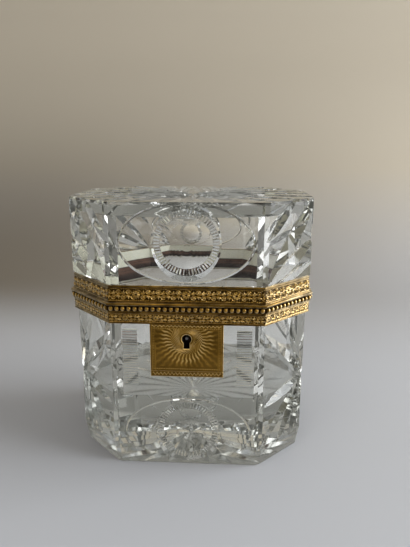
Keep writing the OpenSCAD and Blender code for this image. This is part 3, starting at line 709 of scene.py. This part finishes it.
def makeLockPlate(material):
    # the engraved face is a grid sunk by the engraving, closed by its edges and a flat back, then cut for the key
    p = plate
    cols = int(round(2 * p["halfWidth"] / p["cell"])) + 1
    rows = int(round((p["high"] - p["low"]) / p["cell"])) + 1
    x = np.linspace(-p["halfWidth"], p["halfWidth"], cols)[None, :] + np.zeros((rows, 1))
    z = np.linspace(p["low"], p["high"], rows)[:, None] + np.zeros((1, cols))
    keyAt, radius, (slotWidth, slotDown) = p["keyAt"], p["keyRadius"], p["slot"]
    slot = np.maximum(np.abs(x) - slotWidth / 2, np.maximum(z - keyAt, keyAt - slotDown - z))
    key = np.minimum(np.hypot(x, z - keyAt) - radius, slot)
    edge = np.minimum(p["halfWidth"] - np.abs(x), np.minimum(z - p["low"], p["high"] - z))
    out = p["front"] - p["cut"] * engraving(x, z)
    out = out - p["edge"] * (1 - swell(edge, 0, 0.35)) - p["keyEdge"] * (1 - swell(key, 0, 0.5))
    front = pointsFrom(x, z, out)
    faces = gridFaces(rows, cols)[:, ::-1].tolist()
    index = np.arange(rows * cols).reshape(rows, cols)
    loop = np.concatenate([index[0, :-1], index[:-1, -1], index[-1, :0:-1], index[:0:-1, 0]])
    back = front[loop] * np.array([1, 1, 0]) + np.array([0, 0, p["back"]])
    start = rows * cols
    count = len(loop)
    after = (np.arange(count) + 1) % count
    faces += np.stack([loop, start + np.arange(count), start + after, loop[after]], -1).tolist()
    faces.append(list(range(start, start + count))[::-1])
    obj = outward(meshFrom("engravedPlate", onSide(np.vstack([front, back]), 0), faces))
    gap = math.asin(slotWidth / 2 / radius)
    turn = np.linspace(gap, 2 * math.pi - gap, 41) - math.pi / 2
    outline = [(-slotWidth / 2, keyAt - slotDown), (slotWidth / 2, keyAt - slotDown)]
    outline += [(radius * math.cos(t), keyAt + radius * math.sin(t)) for t in turn]
    hole, holeFaces = prism(outline, -1, 3)
    finishMesh(obj, [outward(meshFrom("keyCut", onSide(hole, 0), holeFaces))], 35)
    wear(obj, material)
    # painted highlight: the stored value runs from ground on the uncut face to ground plus shine at the full depth of a
    # cut, so that the gilt paints the engraved strokes bright and the face darker
    co = np.empty(len(obj.data.vertices) * 3)
    obj.data.vertices.foreach_get("co", co)
    cutDown = (box["depth"] / 2 + p["front"] + co.reshape(-1, 3)[:, 1] / mm) / p["cut"]
    return storeValues(obj, "relief", "POINT", p["ground"] + p["shine"] * np.clip(cutDown, 0, 1))


def newMaterial(name, **values):
    # a material with one principled shader and the numbers on its own sockets
    mat = bpy.data.materials.new(name)
    mat.use_nodes = True
    tree = mat.node_tree
    tree.nodes.clear()
    out = tree.nodes.new("ShaderNodeOutputMaterial")
    bsdf = tree.nodes.new("ShaderNodeBsdfPrincipled")
    tree.links.new(bsdf.outputs[0], out.inputs[0])
    for key, value in values.items():
        bsdf.inputs[key.replace("_", " ")].default_value = value
    return mat, tree, bsdf, out


def node(tree, kind, **values):
    # a new node with its settings, or the numbers on its own sockets
    made = tree.nodes.new(kind)
    for key, value in values.items():
        if hasattr(made, key):
            setattr(made, key, value)
        else:
            made.inputs[key.replace("_", " ")].default_value = value
    return made


def objectCoords(tree, scale=(1, 1, 1)):
    # the piece's own coordinates in metres, scaled along each axis
    coords = node(tree, "ShaderNodeTexCoord")
    mapping = node(tree, "ShaderNodeMapping")
    mapping.inputs["Scale"].default_value = scale
    tree.links.new(coords.outputs["Object"], mapping.inputs["Vector"])
    return mapping.outputs[0]


def ramp(tree, source, stops):
    # colour by straight steps between (place, colour) stops
    made = node(tree, "ShaderNodeValToRGB")
    elements = made.color_ramp.elements
    while len(elements) < len(stops):
        elements.new(0.5)
    for element, (place, colour) in zip(elements, stops):
        element.position = place
        element.color = (*colour, 1)
    tree.links.new(source, made.inputs[0])
    return made.outputs[0]


def grey(*stops):
    # stops of equal red, green and blue
    return [(place, (level,) * 3) for place, level in stops]


def noise(tree, vector, scale, detail=3, roughness=0.55):
    made = node(tree, "ShaderNodeTexNoise", Scale=scale, Detail=detail, Roughness=roughness)
    tree.links.new(vector, made.inputs["Vector"])
    return made.outputs[0]


def blend(tree, factor, a, b):
    # a where factor is nothing, b where it is one; each is a link or a colour
    mix = node(tree, "ShaderNodeMix", data_type="RGBA")
    tree.links.new(factor, mix.inputs[0])
    for socket, value in ((6, a), (7, b)):
        if isinstance(value, tuple):
            mix.inputs[socket].default_value = (*value, 1)
        else:
            tree.links.new(value, mix.inputs[socket])
    return mix.outputs[2]


def maths(tree, operation, *values):
    made = node(tree, "ShaderNodeMath", operation=operation)
    for socket, value in zip(made.inputs, values):
        if isinstance(value, float):
            socket.default_value = value
        else:
            tree.links.new(value, socket)
    return made.outputs[0]


def rangeOf(tree, source, fromMin, fromMax, toMin, toMax, kind="SMOOTHSTEP"):
    # source carried from one range to another and held at its ends
    made = node(tree, "ShaderNodeMapRange", interpolation_type=kind)
    tree.links.new(source, made.inputs["Value"])
    for socket, value in (("From Min", fromMin), ("From Max", fromMax), ("To Min", toMin), ("To Max", toMax)):
        made.inputs[socket].default_value = value
    return made.outputs[0]


def bumpFrom(tree, bsdf, height, strength, distance):
    made = node(tree, "ShaderNodeBump", Strength=strength, Distance=distance)
    tree.links.new(height, made.inputs["Height"])
    tree.links.new(made.outputs[0], bsdf.inputs["Normal"])


# shadow, cutShadow and floorShadow are what light keeps as it passes polished faces, satin cuts and, where the floor is
# seen directly, the whole box; the last two are a painted glow, a fixed light that a ray gets in place of what it would
# bring, and the number of turns after which it gets it
crystal = {"tint": (0.975, 0.985, 0.98), "ior": 1.53, "smears": 0.03, "smearScale": 38, "ripple": (55, 0.10, 0.0006),
           "shadow": (0.94, 0.95, 0.945), "cutShadow": (0.68, 0.69, 0.69), "floorShadow": (0.47, 0.435, 0.38),
           "bodyTint": (0.61, 0.62, 0.575), "bodyDepth": 8.0, "paintedGlow": (0.10, 0.10, 0.09), "paintedGlowAfter": (5.5, 6.5)}


def crystalMaterial():
    # polished lead crystal with faint smears, satin where the wheel's marks were left
    mat, tree, bsdf, out = newMaterial("leadCrystal", Base_Color=(*crystal["tint"], 1), Transmission_Weight=1,
                                       IOR=crystal["ior"])
    vec = objectCoords(tree)
    smears = ramp(tree, noise(tree, vec, crystal["smearScale"], 4, 0.6), grey((0.4, 0.0), (0.75, crystal["smears"])))
    satin = node(tree, "ShaderNodeAttribute", attribute_name="satin").outputs["Fac"]
    tree.links.new(maths(tree, "MAXIMUM", smears, satin), bsdf.inputs["Roughness"])
    scale, strength, distance = crystal["ripple"]
    bumpFrom(tree, bsdf, noise(tree, vec, scale, 1, 0.4), strength, distance)
    path = node(tree, "ShaderNodeLightPath")
    clear = node(tree, "ShaderNodeBsdfTransparent")
    through = blend(tree, ramp(tree, satin, grey((0.0, 0.0), (0.05, 1.0))), crystal["shadow"], crystal["cutShadow"])
    crossed = ramp(tree, path.outputs["Transmission Depth"], grey((0.0, 0.0), (0.5, 1.0)))
    tree.links.new(blend(tree, crossed, crystal["floorShadow"], through), clear.inputs[0])
    body = node(tree, "ShaderNodeVolumeAbsorption", Color=(*crystal["bodyTint"], 1), Density=crystal["bodyDepth"])
    tree.links.new(body.outputs[0], out.inputs["Volume"])
    # painted glow: a ray that has turned more often than the given count ends in a fixed dim emission
    paintedGlow = node(tree, "ShaderNodeEmission", Color=(*crystal["paintedGlow"], 1))
    deep = node(tree, "ShaderNodeMixShader")
    mix = node(tree, "ShaderNodeMixShader")
    links = ((rangeOf(tree, path.outputs["Ray Depth"], *crystal["paintedGlowAfter"], 0, 1), deep.inputs[0]),
             (bsdf.outputs[0], deep.inputs[1]), (paintedGlow.outputs[0], deep.inputs[2]),
             (path.outputs["Is Shadow Ray"], mix.inputs[0]), (deep.outputs[0], mix.inputs[1]),
             (clear.outputs[0], mix.inputs[2]), (mix.outputs[0], out.inputs[0]))
    for source, socket in links:
        tree.links.new(source, socket)
    return mat


# colours: the dark of grime, specks and hollows, which is also painted shade on the beads; matt and worn gilding;
# polish with a painted highlight; a pale painted sheen; then noise scales, roughness and grain
gilt = {"dirtAndShade": (0.034, 0.016, 0.004), "matt": (0.30, 0.155, 0.020), "worn": (0.56, 0.31, 0.055),
        "polishAndHighlight": (0.95, 0.66, 0.24), "pale": (0.98, 0.80, 0.48), "patches": 60, "specks": 700, "grime": 150,
        "polish": 260, "roughness": (0.24, 0.44), "grain": (1500, 0.3, 0.0001)}


def giltMaterial(name, chased):
    # darker in the hollows, matt gilding on the slopes, polished metal with a painted highlight on the tops, and a
    # painted sheen that turns paler at a glancing angle
    mat, tree, bsdf, _ = newMaterial(name, Metallic=1)
    vec = objectCoords(tree)
    patches = noise(tree, vec, gilt["patches"], 5, 0.6)
    specks = noise(tree, vec, gilt["specks"], 3, 0.6)
    skin = ramp(tree, patches, [(0.3, gilt["matt"]), (0.6, gilt["worn"])])
    if chased:
        relief = node(tree, "ShaderNodeAttribute", attribute_name="relief").outputs["Fac"]
        # painted highlight: where the stored value is high the skin turns to the bright tint, on the tops of the
        # chasing, which are partly polish, on the beads' fronts and in the lock plate's engraved strokes
        skin = blend(tree, ramp(tree, relief, grey((0.5, 0.0), (0.9, 0.9))), skin, gilt["polishAndHighlight"])
        # darker where the stored value is low: in the hollows of the chasing, on the lock plate's uncut face, and as
        # painted shade on the beads' sides and in the gaps between them
        hollow = ramp(tree, relief, grey((0.04, 1.0), (0.28, 0.6), (0.55, 0.0)))
    else:
        grime = noise(tree, objectCoords(tree, (1, 1, 3)), gilt["grime"], 4, 0.65)
        hollow = ramp(tree, grime, grey((0.38, 0.8), (0.68, 0.22)))
    # painted sheen: the colour turns to the pale tint at a glancing angle
    sheenFacing = node(tree, "ShaderNodeLayerWeight", Blend=0.5)
    edge = ramp(tree, sheenFacing.outputs["Facing"], grey((0.2, 0.0), (0.45, 0.9)))
    colour = blend(tree, hollow, blend(tree, edge, skin, gilt["pale"]), gilt["dirtAndShade"])
    colour = blend(tree, ramp(tree, specks, grey((0.60, 0.0), (0.76, 0.7))), colour, gilt["dirtAndShade"])
    tree.links.new(colour, bsdf.inputs["Base Color"])
    smooth, matt = gilt["roughness"]
    polish = noise(tree, vec, gilt["polish"], 4, 0.6)
    tree.links.new(ramp(tree, polish, grey((0.3, smooth), (0.7, matt))), bsdf.inputs["Roughness"])
    scale, strength, distance = gilt["grain"]
    bumpFrom(tree, bsdf, noise(tree, vec, scale, 3, 0.6), strength, distance)
    return mat


# the last number is how dark the painted shade of the bands gets, as a share of the dark colour
dull = {"patches": 120, "polish": 400, "spread": 0.15, "grain": (500, 0.2, 0.0001), "bandShade": 0.12}


def dullMetal(name, dark, light, roughness, metallic=1.0, bands=None):
    # mottled from dark to light; bands: (height in mm, how much of the colour is left there) from the lowest up, the
    # rest turned to painted shade
    mat, tree, bsdf, _ = newMaterial(name, Metallic=metallic)
    vec = objectCoords(tree)
    colour = ramp(tree, noise(tree, vec, dull["patches"], 5, 0.65), [(0.3, dark), (0.7, light)])
    if bands:
        split = node(tree, "ShaderNodeSeparateXYZ")
        tree.links.new(vec, split.inputs[0])
        low, high = bands[0][0], bands[-1][0]
        part = rangeOf(tree, split.outputs[2], low * mm, high * mm, 0, 1, "LINEAR")
        kept = ramp(tree, part, grey(*[((z - low) / (high - low), left) for z, left in bands]))
        colour = blend(tree, kept, tuple(dull["bandShade"] * c for c in dark), colour)
    tree.links.new(colour, bsdf.inputs["Base Color"])
    polish = noise(tree, vec, dull["polish"], 3, 0.6)
    matt = roughness + dull["spread"]
    tree.links.new(ramp(tree, polish, grey((0.3, roughness), (0.7, matt))), bsdf.inputs["Roughness"])
    scale, strength, distance = dull["grain"]
    bumpFrom(tree, bsdf, noise(tree, objectCoords(tree, (1, 1, 9)), scale, 3, 0.6), strength, distance)
    return mat


crystalMat = crystalMaterial()
chasedMat = giltMaterial("chasedGilt", True)
plainMat = giltMaterial("plainGilt", False)
# painted light on the liner by height: painted shade at its foot, in a thin line and at its top, so that the bands
# between read as its highlights
linerBands = [(91.0, 0.1), (92.6, 0.35), (93.6, 0.9), (94.6, 1.0), (94.9, 0.15), (95.4, 0.9), (97.0, 0.8), (97.7, 0.0)]
linerMat = dullMetal("rawBrassLiner", (0.075, 0.030, 0.018), (0.20, 0.095, 0.060), 0.42, 0.7, linerBands)
steelMat = dullMetal("filedSteel", (0.16, 0.155, 0.15), (0.34, 0.33, 0.32), 0.35)
plasterMat = dullMetal("settingPlaster", (0.88, 0.84, 0.68), (0.96, 0.94, 0.82), 0.8, 0.0)
plaster = plasterMat.node_tree.nodes["Principled BSDF"].inputs
plaster["Emission Color"].default_value = (0.92, 0.86, 0.68, 1)  # a painted glow of its own, standing in for the daylight that the crystal carries to it
plaster["Emission Strength"].default_value = 0.2
finishes = {"cut_glass": crystalMat, "gilt_metal": plainMat, "dark_brass": linerMat, "lock_steel": steelMat,
            "plaster": plasterMat}
for part in frame["record"]["subparts"]:
    wear(nodes[part["node"]], finishes[part["material_slot"]])
for piece in (crystalBase, crystalLid):
    wear(piece, crystalMat)
print("materials made")

lidParts, baseParts = makeMouldings()
pieces = [(crystalBase, "base", "cut_glass", "base_glass"), (crystalLid, "lid", "cut_glass", "lid_glass"),
          (meshFrom("lidMouldings", *joinParts(lidParts), plainMat, 40), "lid", "gilt_metal", None),
          (meshFrom("baseMouldings", *joinParts(baseParts), plainMat, 40), "base", "gilt_metal", None),
          (makeFrieze("lidVineFrieze", lidFrieze, chasedMat, False), "lid", "gilt_metal", None),
          (makeFrieze("baseVineFrieze", baseFrieze, chasedMat, True), "base", "gilt_metal", None),
          (makeBeadCourse(chasedMat), "lid", "gilt_metal", "bead_strip"),
          (makeLockPlate(chasedMat), "base", "gilt_metal", "lock_plate")]
for piece, body, slot, stands in pieces:
    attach(piece, body)
    if stands:
        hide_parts(stands)
    print(piece.name, len(piece.data.polygons), "faces")


# colours of the paper, where each change of tone starts and ends in metres, and the sweep's own shape in millimetres;
# the paper carries painted shade behind the box, a painted dark reflection in front, painted shade seen through the
# foot and a painted glow under it
stageSweep = {"floor": (0.52, 0.52, 0.53), "wall": (0.625, 0.548, 0.428), "wallFrom": 0.14,
              "front": (0.16, 0.155, 0.15), "frontFrom": (-0.13, -0.36), "shade": (0.19, 0.160, 0.12),
              "shadeFrom": (0.06, 0.34), "shadeTop": (0.0, 0.36), "shadeAcross": (-0.32, 0.60),
              "high": (0.40, 0.39, 0.365), "highFrom": (0.44, 0.62), "shadeThroughFoot": (0.30, 0.29, 0.265),
              "underGlow": 0.22, "glowEdge": (-6, 2), "halfWidth": 4000, "frontEdge": -3500, "bend": 280,
              "bendRadius": 300, "top": 1700, "floorHeight": -0.2, "columns": 9}


def makeStage():
    # a paper sweep: flat floor, a quarter round of the bend radius, then an upright wall
    s = stageSweep
    turn = np.linspace(0, math.pi / 2, 25)
    y = np.concatenate([[s["frontEdge"]], s["bend"] + s["bendRadius"] * np.sin(turn), [s["bend"] + s["bendRadius"]]])
    z = np.concatenate([[0], s["bendRadius"] * (1 - np.cos(turn)), [s["top"]]]) + s["floorHeight"]
    x = np.linspace(-s["halfWidth"], s["halfWidth"], s["columns"])
    points = pointsFrom(x, y[:, None], z[:, None])
    mat, tree, bsdf, _ = newMaterial("paperSweep", Emission_Color=(1, 0.98, 0.94, 1), Roughness=0.75)
    split = node(tree, "ShaderNodeSeparateXYZ")
    tree.links.new(objectCoords(tree), split.inputs[0])
    paper = blend(tree, ramp(tree, split.outputs[2], grey((0.0, 0.0), (s["wallFrom"], 1.0))), s["floor"], s["wall"])
    # painted shade: a shadow on the wall and the floor behind the box, deepest low down at the left
    shade = rangeOf(tree, split.outputs[1], *s["shadeFrom"], 0, 1)
    for axis, span in ((2, s["shadeTop"]), (0, s["shadeAcross"])):
        shade = maths(tree, "MULTIPLY", shade, rangeOf(tree, split.outputs[axis], *span, 1, 0))
    paper = blend(tree, shade, paper, s["shade"])
    paper = blend(tree, rangeOf(tree, split.outputs[2], *s["highFrom"], 0, 1), paper, s["high"])
    # painted reflection: to every ray but the camera's that hasn't crossed the crystal, the paper in front is dark, so
    # that the metal mirrors a dim room there; painted shade: paper seen through the crystal one to three times, which
    # came through its solid foot, is darker. The count of crossings is a tenth of the true one, to fit a ramp
    path = node(tree, "ShaderNodeLightPath")
    crossed = maths(tree, "MULTIPLY", path.outputs["Transmission Depth"], 0.1)
    notCamera = ramp(tree, path.outputs["Is Camera Ray"], grey((0.0, 1.0), (1.0, 0.0)))
    mirrored = maths(tree, "MULTIPLY", notCamera, ramp(tree, crossed, grey((0.0, 1.0), (0.05, 0.0))))
    mirrored = maths(tree, "MULTIPLY", mirrored, rangeOf(tree, split.outputs[1], *s["frontFrom"], 0, 1))
    paper = blend(tree, mirrored, paper, s["front"])
    # painted shade on the paper seen through the foot
    shadeThroughFoot = ramp(tree, crossed, grey((0.0, 0.0), (0.05, 1.0), (0.3, 1.0), (0.35, 0.0)))
    paper = blend(tree, shadeThroughFoot, paper, s["shadeThroughFoot"])
    tree.links.new(paper, bsdf.inputs["Base Color"])
    # painted glow: the paper under the foot glows where it is seen through the crystal, in place of light that shadow
    # rays can't bring
    under = ramp(tree, crossed, grey((0.0, 0.0), (0.05, s["underGlow"])))
    inner, outer = s["glowEdge"]
    for axis, half in ((0, box["width"] / 2), (1, box["depth"] / 2)):
        away = maths(tree, "ABSOLUTE", split.outputs[axis])
        inside = rangeOf(tree, away, (half + inner) * mm, (half + outer) * mm, 1, 0)
        under = maths(tree, "MULTIPLY", under, inside)
    tree.links.new(under, bsdf.inputs["Emission Strength"])
    bumpFrom(tree, bsdf, noise(tree, objectCoords(tree), 900, 3), 0.05, 0.0002)
    meshFrom("stageSweep", points, gridFaces(len(y), len(x)), mat, 30)


makeStage()


lamps = {"window": {"at": (1.7, 0.08, 0.78), "size": (1.8, 1.4), "power": 56, "colour": (0.93, 0.965, 1.0)},
         "front": {"at": (-0.5, -0.9, 1.1), "size": (0.9, 0.7), "power": 4, "colour": (1.0, 0.97, 0.92)},
         "aim": (0, 0, 0.07)}
# tones of the room, and where along y or x of a direction the last three begin and end
sky = {"strength": 0.75, "back": (0.62, 0.64, 0.67), "front": (0.24, 0.24, 0.235), "frontFrom": (-0.75, 0.1),
       "right": (2.2, 2.22, 2.26), "rightFrom": (0.74, 0.92), "left": (3.6, 3.6, 3.55), "leftFrom": (-0.82, -0.5)}


def areaLamp(name, at, size, power, colour):
    # a soft window turned to the middle of the box, which the crystal's own rays don't show
    lamp = bpy.data.lights.new(name, "AREA")
    lamp.shape = "RECTANGLE"
    lamp.size, lamp.size_y = size
    lamp.energy = power
    lamp.color = colour
    obj = placed(name, lamp)
    obj.location = at
    obj.visible_transmission = False
    aim = np.array(lamps["aim"]) - np.array(at)
    obj.rotation_euler = Euler((math.atan2(math.hypot(aim[0], aim[1]), -aim[2]), 0, math.atan2(-aim[0], aim[1])))


def roomLight():
    # the room: dim in front, paler overhead and behind, with a window at the right and a second one at the left, which
    # is seen only through glass, so that the floor keeps its shadow and the gilt its tone
    world = bpy.data.worlds.new("roomLight")
    bpy.context.scene.world = world
    world.use_nodes = True
    tree = world.node_tree
    background = tree.nodes["Background"]
    split = node(tree, "ShaderNodeSeparateXYZ")
    tree.links.new(node(tree, "ShaderNodeTexCoord").outputs["Generated"], split.inputs[0])
    dim = rangeOf(tree, split.outputs[1], *sky["frontFrom"], 1, 0)
    right = rangeOf(tree, split.outputs[0], *sky["rightFrom"], 0, 1)
    room = blend(tree, right, blend(tree, dim, sky["back"], sky["front"]), sky["right"])
    left = rangeOf(tree, split.outputs[0], *sky["leftFrom"], 1, 0)
    crossed = rangeOf(tree, node(tree, "ShaderNodeLightPath").outputs["Transmission Depth"], 0, 1, 0, 1)
    tree.links.new(blend(tree, maths(tree, "MULTIPLY", left, crossed), room, sky["left"]), background.inputs[0])
    background.inputs[1].default_value = sky["strength"]


for lampName in ("window", "front"):
    areaLamp(lampName, **lamps[lampName])
roomLight()
print("stage and lamps set")


# place in metres, turn in degrees, and the lens by its focal length in pixels of the frame's height
view = {"at": (0.02306, -0.29603, 0.17588), "down": 14.368, "left": 3.117, "roll": -0.08, "focalPixels": 503.35,
        "imageHeight": 547, "sensor": 36, "clipStart": 0.01}
camera = placed("frontView", bpy.data.cameras.new("frontView"))
camera.data.sensor_width = view["sensor"]
camera.data.lens = view["focalPixels"] / view["imageHeight"] * view["sensor"]
camera.data.clip_start = view["clipStart"]
camera.location = view["at"]
camera.rotation_euler = Euler([math.radians(turn) for turn in (90 - view["down"], view["roll"], view["left"])])
bpy.context.scene.camera = camera
bpy.context.scene.view_settings.view_transform = "Standard"

rayTurns = 24  # light is turned many times between the cuts before it leaves
cycles = bpy.context.scene.cycles
cycles.caustics_refractive = cycles.caustics_reflective = False
for kind in ("max", "transmission", "glossy", "transparent_max"):
    setattr(cycles, kind + "_bounces", rayTurns)
print("camera set")
